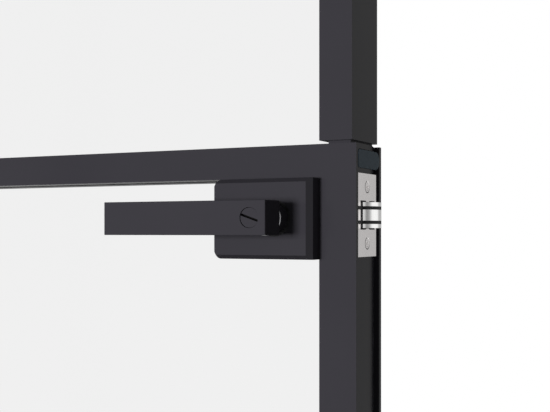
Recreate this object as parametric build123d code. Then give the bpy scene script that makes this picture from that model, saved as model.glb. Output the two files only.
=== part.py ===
from build123d import *
import os

# A glazed hinged door with its frame. A slim black leaf carries two panes: a lower part with wider
# stiles and a lock in the corner under its lock rail, and an upper part with narrower posts.
# Every piece is drawn with the leaf closed: x runs from the hinge axis to the latch edge, y from the
# middle of the leaf's thickness (minus y is the outside) and z from the floor. The frame is then
# turned about the hinge axis, so that the leaf stands open, and the origin is moved to the middle of
# the hinge jamb's foot. All lengths are in millimetres, all angles in degrees.

# Frame
frame_width = 900
frame_height = 2100
jamb_face = 36
jamb_wall = 2.5
stop_thickness = 15
stop_reach = 12
stop_wall = 2
stop_gap = 3
running_gap = 3
open_angle = 90
fixing_shares = (0.08, 0.36, 0.64, 0.92)
fixing_radius = 3.5
cleat_length = 90
cleat_thickness = 8
seal_slot = 3.2
seal_slot_depth = 4
seal_bead_radius = 3
seal_bead_rise = 2.6

# Leaf
leaf_thickness = 47
floor_gap = 8
stile_width = 27
post_width = 24
lock_rail_height = 22.5
bottom_rail_height = 45
top_rail_height = 24
section_wall = 2.5
edge_roll_setback = 21
edge_roll_drop = 4.1
edge_lip = 4
splice_gap = 2.3
splice_inset = 5.4
splice_face_inset = 3.5
splice_drop = 24
splice_reach = 60
splice_tongue_width = 18
brush_width = 6
brush_seat = 5
brush_length = 7

# Panes and their gaskets
glass_thickness = 8
glass_bite = 5.5
glass_groove_width = 12
glass_groove_depth = 7.5

# Joint between lock rail and stile
tenon_length = 40
joint_screw_radius = 2.5
joint_screw_length = 32
joint_head_radius = 4.2
joint_head_height = 3.5
cap_width = 39.2
cap_height = 12.4
cap_front_corner = 2.2
cap_back_corner = 5.9
cap_rise = 0.3
cap_sink = 1
cap_edge = 0.15
cap_setback = 3.4
cap_lift = 1.1
cap_rebate = 1.6
cap_plug_depth = 4

# Lock box and covers
spindle_height = 1000
backset = 53.6
lock_box_length = 76.2
lock_box_height = 56
lock_box_wall = 2.5
cover_depth = 15.6
cover_reveal = 0.6
cover_chamfer = 2.9
cover_chamfer_depth = 5.4
cover_corner = 5.5
cover_wall = 2.5
cover_bolt_inset = 14
cover_bolt_spacing = 26
cover_bolt_radius = 2
cover_bolt_head_radius = 3.8
cover_bolt_head_height = 3
cover_boss_radius = 5.4
bush_thickness = 1.8
bush_flange = 1.4
bush_flange_rise = 1
bush_depth = 7

# Levers, spindle and privacy turn
lever_length = 126.3
lever_end = 11.7
lever_height = 22.8
lever_thickness = 20.8
lever_standoff = 30.6
lever_edge = 0.3
neck_radius = 10.5
neck_end_room = 4
collar_rise = 0.9
collar_length = 1
ring_rise = 1.4
ring_thickness = 1.8
ring_round = 0.6
spindle_side = 8
spindle_bite = 8.4
grub_radius = 2.5
grub_setback = 3.4
grub_sink = 0.4
coin_radius = 6.5
coin_thickness = 4.8
coin_sink = 0.6
coin_slot_width = 1.5
coin_slot_depth = 3
coin_slot_angle = 19
privacy_radius = 2.5
thumb_grip_width = 4
thumb_grip_rise = 9

# Latch
latch_rise = 2.2
faceplate_height = 56.8
faceplate_width = 33.2
faceplate_thickness = 1.6
faceplate_setback = 3.7
faceplate_corner = 0.5
faceplate_screw_spacing = 38.6
faceplate_screw_rim = 0.6
bolt_side_gap = 4.5
bolt_end_gap = 1.1
tongue_length = 0.8
tongue_root_width = 7.5
tongue_tip_width = 4.5
rib_setback = 1.2
rib_depth = 0.8
latch_case_wall = 1.5
latch_case_length = 32
bolt_width = 17.1
bolt_height = 17.6
bolt_throw = 6.8
bolt_setback = 12.3
bolt_tip = 5.6
bolt_bulge_depth = 1.5
bolt_body = 14
bolt_strip_height = 2.3
bolt_strip_spacing = 9.8
bolt_strip_depth = 1
bolt_strip_root = 3
tail_width = 10
tail_thickness = 1.6
tail_end = 4
tail_play = 0.6
cam_radius = 8.2
cam_width = 8
cam_arm_width = 4
cam_arm_depth = 5
cam_arm_reach = 13.5
spring_radius = 4
spring_wire = 0.55
spring_turns = 5
spring_wire_sides = 6

# Strike
strike_thickness = 1.5
strike_play = 0.8
strike_lip_height = 26
strike_lip_rise = 1.5
strike_box_wall = 1.2
strike_box_depth = 14
strike_screw_spacing = 43

# Hinges and screws
hinge_inset = 200
hinge_rail_drop = 146
hinge_height = 100
hinge_plate_thickness = 3.5
hinge_plate_width = 23
hinge_offset = 7
knuckle_radius = 6.5
knuckle_room = 0.5
knuckle_gap = 0.4
knuckle_end_share = 0.25
pin_radius = 3
pin_head_radius = 5
pin_head_height = 2.5
screw_radius = 2
screw_head_radius = 3.6
screw_head_height = 2
screw_length = 12
hinge_screw_shares = (0.12, 0.37, 0.63, 0.88)
hinge_screw_inset = 9

# Clearances
fit = 0.05
seat = 0.3
overrun = 5

# Places that follow from these sizes
half = leaf_thickness / 2
axis_y = half + hinge_offset
leaf_left = running_gap / 2
leaf_width = frame_width - 2 * jamb_face - 2 * running_gap
leaf_right = leaf_left + leaf_width
leaf_bottom = floor_gap
leaf_top = frame_height - jamb_face - running_gap
jamb_left = -running_gap / 2
jamb_right = leaf_right + running_gap
frame_depth = leaf_thickness + stop_gap + stop_thickness
frame_back = -half - stop_gap - stop_thickness
frame_mid_y = half - frame_depth / 2
stop_face = -half - stop_gap
stop_length = running_gap + stop_reach
latch_inner = leaf_right - stile_width
hinge_inner = leaf_left + stile_width
hinge_post_inner = leaf_left + post_width
rail_bottom = spindle_height + lock_box_height / 2
rail_top = rail_bottom + lock_rail_height
rail_middle = rail_bottom + lock_rail_height / 2
post_bottom = rail_top + splice_gap
top_rail_bottom = leaf_top - top_rail_height
box_left = latch_inner - lock_box_length
box_bottom = spindle_height - lock_box_height / 2
spindle_x = leaf_right - backset
lever_back = half + lever_standoff
lever_front = lever_back + lever_thickness
latch_height = spindle_height + latch_rise
edge_roll_y = -half + edge_roll_setback
edge_lip_y = half - edge_lip
faceplate_y = -half + faceplate_setback + faceplate_width / 2
faceplate_out = leaf_right
faceplate_back = faceplate_out - faceplate_thickness
bolt_front = -half + bolt_setback
bolt_y = bolt_front + bolt_width / 2
bolt_back = faceplate_out - bolt_body
gasket_base = glass_groove_depth - glass_bite
side_chamber = (half - glass_groove_width / 2) / 2 + glass_groove_width / 2
latch_bore_width = bolt_width + 2 * seat
latch_bore_height = bolt_height + 2 * seat
latch_case_width = latch_bore_width + 2 * latch_case_wall
latch_case_height = latch_bore_height + 2 * latch_case_wall
bush_radius = neck_radius + fit + bush_thickness


def block(x0, x1, y0, y1, z0, z1):
    """A rectangular solid between two corners."""
    return Pos((x0 + x1) / 2, (y0 + y1) / 2, (z0 + z1) / 2) * Box(x1 - x0, y1 - y0, z1 - z0)


def rod_x(radius, x0, x1, y, z):
    """A round bar along x."""
    return Pos((x0 + x1) / 2, y, z) * Rot(0, 90, 0) * Cylinder(radius, x1 - x0)


def rod_y(radius, y0, y1, x, z):
    """A round bar along y."""
    return Pos(x, (y0 + y1) / 2, z) * Rot(90, 0, 0) * Cylinder(radius, y1 - y0)


def inside_out(shape):
    """The same piece on the inside face of the leaf."""
    return mirror(shape, about=Plane.XZ)


def hollow(outline, wall):
    """An extrusion's section: its outline with an even wall."""
    return outline - offset(outline, amount=-wall, kind=Kind.INTERSECTION)


def screw(x_out, y, z, room=0, rim=0):
    """A countersunk screw along x, head outwards at x_out, or its hole with room and a wider rim."""
    section = Polyline(
        (0, -screw_length),
        (screw_radius + room, -screw_length),
        (screw_radius + room, -screw_head_height),
        (screw_head_radius + room + rim, 0),
        (0, 0),
        close=True,
    )
    return Pos(x_out, y, z) * Rot(0, 90, 0) * revolve(Plane.XZ * make_face(section), Axis.Z)


# Frame pieces


def jamb_tube(inner_x, side, height):
    """A rectangular tube with a mitred top; side is the way from its inner face outwards."""
    tube = Pos(inner_x + side * jamb_face / 2, frame_mid_y) * extrude(
        hollow(Rectangle(jamb_face, frame_depth), jamb_wall), height
    )
    low = height - jamb_face
    corner = Polyline(
        (inner_x - side * overrun, low - overrun),
        (inner_x + side * (jamb_face + overrun), height + overrun),
        (inner_x - side * overrun, height + overrun),
        close=True,
    )
    wedge = extrude(Plane.XZ * make_face(corner), frame_depth + overrun, both=True)
    return tube - wedge


def fixing_holes(inner_x, side):
    """Holes right through a jamb for the screws into the wall."""
    ends = sorted((inner_x - side * overrun, inner_x + side * (jamb_face + overrun)))
    return [rod_x(fixing_radius, *ends, frame_mid_y, share * frame_height) for share in fixing_shares]


def hinge_jamb():
    tube = jamb_tube(jamb_left, -1, frame_height)
    return tube - fixing_holes(jamb_left, -1) - hinge_screws(-1, fit)


def latch_jamb():
    tube = jamb_tube(jamb_right, 1, frame_height)
    return tube - fixing_holes(jamb_right, 1) - strike_seat() - strike_screws(fit)


def head_jamb():
    """The head tube, mitred at both ends."""
    section = hollow(Rectangle(frame_depth, jamb_face), jamb_wall)
    left = jamb_left - jamb_face
    right = jamb_right + jamb_face
    middle = (left, frame_mid_y, frame_height - jamb_face / 2)
    place = Plane(origin=middle, x_dir=(0, 1, 0), z_dir=(1, 0, 0))
    tube = extrude(place * section, right - left)
    outline = Polyline(
        (left, frame_height),
        (right, frame_height),
        (right - jamb_face, frame_height - jamb_face),
        (left + jamb_face, frame_height - jamb_face),
        close=True,
    )
    return tube & extrude(Plane.XZ * make_face(outline), frame_depth + overrun, both=True)


def stop_section():
    """Section of a clip-on stop: x from the jamb into the doorway, y on the frame's own y."""
    body = Pos(stop_length / 2, frame_back + stop_thickness / 2) * Rectangle(stop_length, stop_thickness)
    slot = Pos(stop_length / 2, stop_face - seal_slot_depth / 2) * Rectangle(seal_slot, seal_slot_depth)
    return hollow(body - slot, stop_wall)


def seal_section():
    """Section of a stop seal: a stem in the slot and a round bead towards the leaf."""
    stem = Pos(stop_length / 2, stop_face - seal_slot_depth / 2) * Rectangle(seal_slot, seal_slot_depth)
    bead_y = stop_face + seal_bead_rise - seal_bead_radius
    bead = Pos(stop_length / 2, bead_y) * Circle(seal_bead_radius)
    room = 2 * seal_bead_radius
    cut = Pos(stop_length / 2, stop_face + seal_bead_radius) * Rectangle(room, room)
    return stem + (bead & cut)


def side_strip(section, inner_x, side, low, high):
    """A strip with this section, standing against one jamb."""
    if side > 0:
        section = mirror(section, about=Plane.YZ)
    return Pos(inner_x, 0, low) * extrude(section, high - low)


def head_strip(section, inset):
    """A strip with this section under the head, between two ends inset from the jambs."""
    place = Plane(
        origin=(jamb_left + inset, 0, frame_height - jamb_face), x_dir=(0, 0, -1), z_dir=(1, 0, 0)
    )
    return extrude(place * section, jamb_right - jamb_left - 2 * inset)


def side_stop(inner_x, side):
    return side_strip(stop_section(), inner_x, side, 0, frame_height - jamb_face - stop_length)


def side_seal(inner_x, side):
    return side_strip(seal_section(), inner_x, side, 0, frame_height - jamb_face - stop_length)


def frame_cleats():
    """An angle in each top corner of the frame, inside the tubes."""
    width = frame_depth - 2 * jamb_wall - 2 * fit
    outer_x = jamb_left - jamb_face + jamb_wall
    outer_z = frame_height - jamb_wall
    angle = Polyline(
        (outer_x, outer_z),
        (outer_x + cleat_length, outer_z),
        (outer_x + cleat_length, outer_z - cleat_thickness),
        (outer_x + cleat_thickness, outer_z - cleat_thickness),
        (outer_x + cleat_thickness, outer_z - cleat_length),
        (outer_x, outer_z - cleat_length),
        close=True,
    )
    left = Pos(0, frame_mid_y) * extrude(Plane.XZ * make_face(angle), width / 2, both=True)
    middle = (jamb_left + jamb_right) / 2
    return [left, mirror(left, about=Plane.YZ.offset(middle))]


# Strike


def strike_outline():
    """The strike's face, in y and z: a plate with a lip towards the inside."""
    plate = Pos(faceplate_y, latch_height) * Rectangle(faceplate_width, faceplate_height)
    lip_end = half + strike_lip_rise
    lip_width = lip_end - faceplate_y
    lip = Pos(lip_end - lip_width / 2, latch_height) * Rectangle(lip_width, strike_lip_height)
    return plate + lip


def strike_hole():
    return Pos(bolt_y, latch_height) * Rectangle(
        bolt_width + 2 * strike_play, bolt_height + 2 * strike_play
    )


def strike_plate():
    plate = extrude(Plane.YZ.offset(jamb_right) * (strike_outline() - strike_hole()), strike_thickness)
    return plate - strike_screws(fit)


def strike_seat():
    """What the strike and its box take out of the latch jamb."""
    recess = extrude(
        Plane.YZ.offset(jamb_right - overrun) * strike_outline(), strike_thickness + overrun
    )
    box = offset(strike_hole(), amount=strike_box_wall + fit, kind=Kind.INTERSECTION)
    return recess + extrude(Plane.YZ.offset(jamb_right) * box, strike_box_depth)


def strike_box():
    """The dust box behind the strike, open towards the leaf."""
    back = jamb_right + strike_thickness
    outer = offset(strike_hole(), amount=strike_box_wall, kind=Kind.INTERSECTION)
    box = extrude(Plane.YZ.offset(back) * outer, strike_box_depth)
    return box - extrude(Plane.YZ.offset(back) * strike_hole(), strike_box_depth - strike_box_wall)


def strike_screws(room=0):
    """Two screws that run into the latch jamb."""
    heights = (latch_height - strike_screw_spacing / 2, latch_height + strike_screw_spacing / 2)
    turned = [Rot(0, 0, 180) * screw(-jamb_right, -bolt_y, z, room) for z in heights]
    return turned


# Hinges


def hinge_bottoms():
    """The three hinges: one near each end of the leaf and one under the lock rail."""
    middles = (leaf_bottom + hinge_inset, rail_bottom - hinge_rail_drop, leaf_top - hinge_inset)
    return [middle - hinge_height / 2 for middle in middles]


def hinge_screws(side, room=0):
    """Screws through the hinge plates into the jamb (side -1) or the leaf (side 1)."""
    out = half + hinge_plate_thickness
    x = side * (knuckle_radius + hinge_screw_inset)
    upright = Pos(x, out) * Rot(0, 0, 90) * screw(0, 0, 0, room)
    return [
        Pos(0, 0, bottom + share * hinge_height) * upright
        for bottom in hinge_bottoms()
        for share in hinge_screw_shares
    ]


def hinge_wing(side, spans, bottom):
    """One half of a hinge: a plate on the face and the knuckles that it carries."""
    reach = knuckle_radius + hinge_plate_width
    plate_y = half + hinge_plate_thickness
    near = knuckle_radius + knuckle_room
    ends = sorted((side * near, side * reach))
    wing = block(*ends, half, plate_y, bottom, bottom + hinge_height)
    for low, high in spans:
        ends = sorted((0, side * near))
        wing += block(*ends, half, plate_y, bottom + low, bottom + high)
        wing += Pos(0, axis_y, bottom + (low + high) / 2) * Cylinder(knuckle_radius, high - low)
    bore = Pos(0, axis_y, bottom + hinge_height / 2) * Cylinder(pin_radius + fit, hinge_height + overrun)
    return wing - bore - hinge_screws(side, fit)


def frame_wing(bottom):
    end = knuckle_end_share * hinge_height
    return hinge_wing(-1, ((0, end), (hinge_height - end, hinge_height)), bottom)


def leaf_wing(bottom):
    end = knuckle_end_share * hinge_height + knuckle_gap
    return hinge_wing(1, ((end, hinge_height - end),), bottom)


def hinge_pin(bottom):
    """A pin with a button on its top end."""
    pin = Pos(0, axis_y, bottom + hinge_height / 2) * Cylinder(pin_radius, hinge_height)
    head_z = bottom + hinge_height + pin_head_height / 2
    head = Pos(0, axis_y, head_z) * Cylinder(pin_head_radius, pin_head_height)
    return pin + head


# Leaf extrusions


def upright_section(width, rolled_edge):
    """Section of a stile or post: x from its glass face to its edge."""
    outline = Pos(width / 2, 0) * Rectangle(width, leaf_thickness)
    outline -= Pos(glass_groove_depth / 2, 0) * Rectangle(glass_groove_depth, glass_groove_width)
    if rolled_edge:
        outline -= edge_roll(width)
    return hollow(outline, section_wall)


def edge_roll(width):
    """What the latch stile's edge loses: it rolls back slowly behind the latch, up to a lip."""
    roll_start = (width, edge_roll_y)
    roll_end = (width - edge_roll_drop, edge_lip_y)
    roll = TangentArc(roll_start, roll_end, tangent=(0, 1))
    rest = Polyline(
        roll_end, (width + overrun, edge_lip_y), (width + overrun, edge_roll_y), roll_start
    )
    return make_face([roll, *rest.edges()])


def rail_section(height, grooves):
    """Section of a rail: y and z from its middle, with a glass groove in its top (1) or bottom (-1)."""
    outline = Rectangle(leaf_thickness, height)
    for way in grooves:
        groove_z = way * (height - glass_groove_depth) / 2
        outline -= Pos(0, groove_z) * Rectangle(glass_groove_width, glass_groove_depth)
    if 1 in grooves and -1 not in grooves:
        outline -= Pos(0, (brush_seat - height) / 2) * Rectangle(brush_width, brush_seat)
    return hollow(outline, section_wall)


def upright(section, inner_x, side, low, high):
    """A stile or post; side is the way from its glass face to its edge."""
    if side < 0:
        section = mirror(section, about=Plane.YZ)
    return Pos(inner_x, 0, low) * extrude(section, high - low)


def rail(section, left, right, middle_z):
    return Pos(left, 0, middle_z) * extrude(Plane.YZ * section, right - left)


def lower_latch_stile():
    stile = upright(upright_section(stile_width, True), latch_inner, 1, leaf_bottom, rail_top)
    stile -= extrude(Plane.YZ.offset(faceplate_back) * faceplate_outline(), faceplate_thickness + overrun)
    stile -= case_hole(latch_inner - overrun, leaf_right + overrun)
    return stile - case_ribs(fit, overrun) - faceplate_screws(fit) - joint_cuts(1)


def lower_hinge_stile():
    stile = upright(upright_section(stile_width, False), hinge_inner, -1, leaf_bottom, rail_top)
    groove = glass_groove_width / 2
    stile -= block(
        hinge_post_inner - glass_groove_depth,
        hinge_inner,
        -groove,
        groove,
        rail_top - glass_groove_depth,
        rail_top + overrun,
    )
    return stile - joint_cuts(-1) - hinge_screws(1, fit)


def upper_latch_post():
    return upright(upright_section(post_width, False), latch_inner, 1, post_bottom, leaf_top)


def upper_hinge_post():
    post = upright(upright_section(post_width, False), hinge_post_inner, -1, post_bottom, leaf_top)
    return post - hinge_screws(1, fit)


def lock_rail():
    return rail(rail_section(lock_rail_height, (-1, 1)), hinge_inner, latch_inner, rail_middle)


def bottom_rail():
    middle = leaf_bottom + bottom_rail_height / 2
    return rail(rail_section(bottom_rail_height, (1,)), hinge_inner, latch_inner, middle)


def top_rail():
    middle = leaf_top - top_rail_height / 2
    return rail(rail_section(top_rail_height, (-1,)), hinge_post_inner, latch_inner, middle)


def bottom_brush():
    """The brush strip in the bottom rail's slot."""
    low = leaf_bottom - brush_length
    section = Polyline(
        (-brush_width / 2, leaf_bottom + brush_seat),
        (brush_width / 2, leaf_bottom + brush_seat),
        (brush_width / 2, leaf_bottom),
        (brush_width / 4, low),
        (-brush_width / 4, low),
        (-brush_width / 2, leaf_bottom),
        close=True,
    )
    return extrude(Plane.YZ.offset(hinge_inner) * make_face(section), latch_inner - hinge_inner)


def splice(stile_x, post_x, side):
    """Spacer between stile and post with a tongue that fills the chamber that both share."""
    ends = sorted((stile_x + side * splice_inset, stile_x + side * (stile_width - splice_inset)))
    face = half - splice_face_inset
    spacer = block(*ends, -face, face, rail_top, post_bottom)
    pane = sorted((stile_x, post_x + side * glass_groove_depth))
    groove = glass_groove_width / 2
    spacer -= block(*pane, -groove, groove, rail_top, post_bottom)
    deep = glass_groove_depth + section_wall + fit
    stile_end = stile_x + side * (stile_width - edge_roll_drop - section_wall - fit)
    post_end = post_x + side * (post_width - section_wall - fit)
    inner_ends = (stile_x + side * deep, post_x + side * deep)
    outer_ends = (stile_end, post_end)
    low_x = max(inner_ends) if side > 0 else max(outer_ends)
    high_x = min(outer_ends) if side > 0 else min(inner_ends)
    tongue = splice_tongue_width / 2
    low_z = rail_top - splice_drop
    return spacer + block(low_x, high_x, -tongue, tongue, low_z, post_bottom + splice_reach)


# Joint between lock rail and stiles


def joint_rows():
    """The joint's two screw rows, in front of and behind the panes."""
    return (-side_chamber, side_chamber)


def joint_cuts(side):
    """The slot under the cap and the screw holes in one stile."""
    inner_x = latch_inner if side > 0 else hinge_inner
    edge_x = inner_x + side * (stile_width + overrun)
    slot_x = inner_x + side * (glass_groove_depth + section_wall)
    slot = block(*sorted((slot_x, edge_x)), *cap_slot())
    floor = inner_x + side * (stile_width - cap_sink)
    seat_face = offset(cap_outline(), amount=seat)
    recess = extrude(Plane.YZ.offset(floor) * seat_face, side * (cap_sink + overrun))
    ends = sorted((inner_x - side * overrun, slot_x))
    holes = [rod_x(joint_screw_radius + fit, *ends, y, rail_middle) for y in joint_rows()]
    return [slot, recess, *holes]


def cap_slot():
    """The slot's span in y and z."""
    left = -half + cap_setback + cap_rebate
    low = rail_middle + cap_lift - cap_height / 2 + cap_rebate
    return left, left + cap_width - 2 * cap_rebate, low, low + cap_height - 2 * cap_rebate


def rail_tenons():
    """Blocks in the ends of the lock rail that the joint screws run into."""
    width = half - glass_groove_width / 2 - 2 * section_wall - 2 * fit
    height = lock_rail_height - 2 * section_wall - 2 * fit
    blocks = []
    for inner_x, side in ((latch_inner, 1), (hinge_inner, -1)):
        ends = sorted((inner_x - side * tenon_length, inner_x))
        for y in joint_rows():
            tenon = block(
                *ends, y - width / 2, y + width / 2, rail_middle - height / 2, rail_middle + height / 2
            )
            blocks.append(tenon - rod_x(joint_screw_radius + fit, *ends, y, rail_middle))
    return blocks


def rail_screws():
    """The joint screws: heads inside the stiles, shanks in the tenons."""
    screws = []
    for inner_x, side in ((latch_inner, 1), (hinge_inner, -1)):
        under = inner_x + side * section_wall
        shank = sorted((under - side * joint_screw_length, under))
        head = sorted((under, under + side * joint_head_height))
        for y in joint_rows():
            screws.append(
                rod_x(joint_screw_radius, *shank, y, rail_middle)
                + rod_x(joint_head_radius, *head, y, rail_middle)
            )
    return screws


def cap_outline():
    """The cap's face in y and z: tighter corners in front, an almost round end behind."""
    left, right, low, high = cap_slot()
    face = Pos((left + right) / 2, (low + high) / 2) * Rectangle(cap_width, cap_height)
    face = fillet(face.vertices().sort_by(Axis.X)[:2], cap_front_corner)
    return fillet(face.vertices().sort_by(Axis.X)[-2:], cap_back_corner)


def edge_cap(side):
    """The rounded cover over the joint's slot, let into the leaf's edge, with a plug behind it."""
    edge_x = leaf_right if side > 0 else leaf_left
    floor = edge_x - side * cap_sink
    cap = extrude(Plane.YZ.offset(floor) * cap_outline(), side * (cap_sink + cap_rise))
    rim = cap.faces().sort_by(Axis.X)[-1 if side > 0 else 0].edges()
    cap = chamfer(rim, cap_edge)
    left, right, low, high = cap_slot()
    ends = sorted((edge_x - side * cap_plug_depth, floor))
    return cap + block(*ends, left + fit, right - fit, low + fit, high - fit)


# Panes and gaskets


def upper_glass():
    return block(
        hinge_post_inner - glass_bite,
        latch_inner + glass_bite,
        -glass_thickness / 2,
        glass_thickness / 2,
        rail_top - glass_bite,
        top_rail_bottom + glass_bite,
    )


def lower_glass():
    """The lower pane, with its corner cut away for the lock box."""
    left = hinge_inner - glass_bite
    right = latch_inner + glass_bite
    low = leaf_bottom + bottom_rail_height - glass_bite
    high = rail_bottom + glass_bite
    notch_x = box_left + glass_bite
    notch_z = box_bottom + glass_bite
    outline = Polyline(
        (left, low), (right, low), (right, notch_z), (notch_x, notch_z), (notch_x, high), (left, high),
        close=True,
    )
    return extrude(Plane.XZ * make_face(outline), glass_thickness / 2, both=True)


def gasket_section():
    """Section of a gasket: a channel round the pane's edge; x runs from the groove's floor outwards."""
    channel = Pos(glass_groove_depth / 2, 0) * Rectangle(glass_groove_depth, glass_groove_width)
    return channel - Pos(gasket_base + glass_bite / 2, 0) * Rectangle(glass_bite, glass_thickness)


def side_gasket(face_x, side, low, high):
    """A gasket along an upright edge; side is the way from the groove's floor to the pane's middle."""
    floor_x = face_x - side * glass_groove_depth
    section = gasket_section() if side > 0 else mirror(gasket_section(), about=Plane.YZ)
    return Pos(floor_x, 0, low) * extrude(section, high - low)


def level_gasket(face_z, side, left, right):
    """A gasket along a level edge; side is the way from the groove's floor to the pane's middle."""
    floor_z = face_z - side * glass_groove_depth
    place = Plane(origin=(left, 0, floor_z), x_dir=(0, 0, side), z_dir=(1, 0, 0))
    return extrude(place * gasket_section(), right - left)


def upper_gaskets():
    low = rail_top - glass_bite
    high = top_rail_bottom + glass_bite
    return [
        side_gasket(hinge_post_inner, 1, post_bottom, high),
        side_gasket(latch_inner, -1, low, high),
        level_gasket(rail_top, 1, hinge_inner, latch_inner),
        level_gasket(top_rail_bottom, -1, hinge_post_inner, latch_inner),
    ]


def lower_gaskets():
    low = leaf_bottom + bottom_rail_height - glass_bite
    high = rail_bottom + glass_bite
    floor_x = box_left + glass_groove_depth
    floor_z = box_bottom + glass_groove_depth
    return [
        side_gasket(hinge_inner, 1, low, high),
        side_gasket(latch_inner, -1, low, box_bottom + glass_bite),
        level_gasket(leaf_bottom + bottom_rail_height, 1, hinge_inner, latch_inner),
        level_gasket(rail_bottom, -1, hinge_inner, floor_x),
        side_gasket(box_left, -1, floor_z, rail_bottom),
        level_gasket(box_bottom, -1, floor_x, latch_inner),
    ]


# Lock box and covers


def lock_outline(reveal=0):
    """Face of the lock box and covers, in x and z, with rounded corners away from the stile."""
    height = lock_box_height - reveal
    place = Pos(box_left + lock_box_length / 2, box_bottom + height / 2)
    face = place * Rectangle(lock_box_length, height)
    return fillet(face.vertices().sort_by(Axis.X)[:2], cover_corner)


def lock_box():
    """The open box between the two covers, with a glass groove in its two free sides."""
    deep = glass_groove_depth + lock_box_wall
    groove = glass_groove_width / 2
    box = extrude(Plane.XZ * lock_outline(), half, both=True)
    box -= block(
        box_left + deep,
        latch_inner - lock_box_wall,
        -half - overrun,
        half + overrun,
        box_bottom + deep,
        rail_bottom - lock_box_wall,
    )
    box -= block(
        box_left - overrun,
        box_left + glass_groove_depth,
        -groove,
        groove,
        box_bottom - overrun,
        rail_bottom + overrun,
    )
    box -= block(
        box_left - overrun,
        latch_inner + overrun,
        -groove,
        groove,
        box_bottom - overrun,
        box_bottom + glass_groove_depth,
    )
    return box - case_hole(latch_inner - lock_box_wall - overrun, latch_inner + overrun)


def case_hole(left, right):
    """Room for the latch case between two places in x."""
    return block(
        left,
        right,
        bolt_y - latch_case_width / 2 - fit,
        bolt_y + latch_case_width / 2 + fit,
        latch_height - latch_case_height / 2 - fit,
        latch_height + latch_case_height / 2 + fit,
    )


def cover_bolt_places():
    x = box_left + cover_bolt_inset
    rise = cover_bolt_spacing / 2
    return ((x, spindle_height - rise), (x, spindle_height + rise))


def cover_shell():
    """A deep cover with a chamfered rim, hollow behind, bored for the lever's bush."""
    front = -half - cover_depth
    outline = lock_outline(cover_reveal)
    cover = extrude(Plane.XZ.offset(half) * outline, cover_depth)
    face = cover.faces().sort_by(Axis.Y)[0]
    cover = chamfer(face.edges(), cover_chamfer, cover_chamfer_depth, reference=face)
    room = offset(outline, amount=-cover_wall - cover_chamfer / 2, kind=Kind.INTERSECTION)
    cover -= extrude(Plane.XZ.offset(half) * room, cover_depth - cover_wall)
    for x, z in cover_bolt_places():
        cover += rod_y(cover_boss_radius, front + cover_wall, -half, x, z)
    inside = front + cover_wall + overrun
    return cover - rod_y(bush_radius + fit, front - overrun, inside, spindle_x, spindle_height)


def outer_cover():
    """The outside cover, whose bosses take the bolts without showing them."""
    cover = cover_shell()
    for x, z in cover_bolt_places():
        cover -= rod_y(cover_bolt_radius + fit, -half - cover_depth + cover_wall, -half, x, z)
    return cover


def inner_cover():
    """The inside cover, bored and counterbored for the bolts."""
    cover = inside_out(cover_shell())
    front = half + cover_depth
    for x, z in cover_bolt_places():
        cover -= rod_y(cover_bolt_radius + fit, half, front + overrun, x, z)
        cover -= rod_y(cover_bolt_head_radius + fit, front - cover_bolt_head_height, front + overrun, x, z)
    return cover


def cover_bolts():
    """Two bolts that clamp the covers together through the lock box."""
    front = half + cover_depth
    bolts = []
    for x, z in cover_bolt_places():
        shank = rod_y(cover_bolt_radius, -front + cover_wall + seat, front, x, z)
        bolts.append(shank + rod_y(cover_bolt_head_radius, front - cover_bolt_head_height, front, x, z))
    return bolts


def cover_bush():
    """The bush that the lever's neck turns in, flush in front and with its flange behind the cover."""
    front = -half - cover_depth
    back = front + bush_depth
    inside = front + cover_wall
    bush = rod_y(bush_radius, front, back, spindle_x, spindle_height)
    flange = bush_radius + bush_flange
    bush += rod_y(flange, inside, inside + bush_flange_rise, spindle_x, spindle_height)
    return bush - rod_y(neck_radius + fit, front - overrun, back + overrun, spindle_x, spindle_height)


# Levers, spindle and privacy turn


def lever():
    """A square bar with a collared round neck, bored for spindle, rod, coin turn and grub screw."""
    end = spindle_x + lever_end
    bar = block(
        end - lever_length,
        end,
        -lever_front,
        -lever_back,
        spindle_height - lever_height / 2,
        spindle_height + lever_height / 2,
    )
    bar = chamfer(bar.edges(), lever_edge)
    neck_end = -half - neck_end_room
    piece = bar + rod_y(neck_radius, -lever_back - overrun, neck_end, spindle_x, spindle_height)
    collar_end = -lever_back + collar_length
    piece += rod_y(neck_radius + collar_rise, -lever_back - overrun, collar_end, spindle_x, spindle_height)
    socket = spindle_side / 2 + fit
    piece -= block(
        spindle_x - socket,
        spindle_x + socket,
        -lever_back - spindle_bite - fit,
        -half,
        spindle_height - socket,
        spindle_height + socket,
    )
    floor = -lever_front + coin_floor()
    piece -= rod_y(coin_radius + seat, -lever_front - overrun, floor, spindle_x, spindle_height)
    piece -= rod_y(privacy_radius + fit, -lever_front, -lever_back, spindle_x, spindle_height)
    return piece - grub_screw(fit, overrun)


def coin_floor():
    """Depth of the recess in the lever that the coin turn sits in."""
    return coin_sink + coin_thickness + fit


def grub_screw(room=0, below=0):
    """The set screw under the lever's root, on the spindle's lower face, or its hole."""
    low = spindle_height - lever_height / 2 + grub_sink - below
    high = spindle_height - spindle_side / 2
    y = -lever_back - grub_setback
    return Pos(spindle_x, y, (low + high) / 2) * Cylinder(grub_radius + room, high - low)


def lever_ring():
    """A bright ring with rounded edges on the neck, against its collar."""
    front = -lever_back + collar_length
    back = front + ring_thickness
    ring = rod_y(neck_radius + ring_rise, front, back, spindle_x, spindle_height)
    ring = fillet(ring.edges().filter_by(GeomType.CIRCLE), ring_round)
    return ring - rod_y(neck_radius + fit, front, back, spindle_x, spindle_height)


def spindle():
    """A square bar with a round bore, from lever to lever."""
    reach = lever_back + spindle_bite
    bar = block(
        spindle_x - spindle_side / 2,
        spindle_x + spindle_side / 2,
        -reach,
        reach,
        spindle_height - spindle_side / 2,
        spindle_height + spindle_side / 2,
    )
    return bar - rod_y(privacy_radius + fit, -reach, reach, spindle_x, spindle_height)


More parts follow.
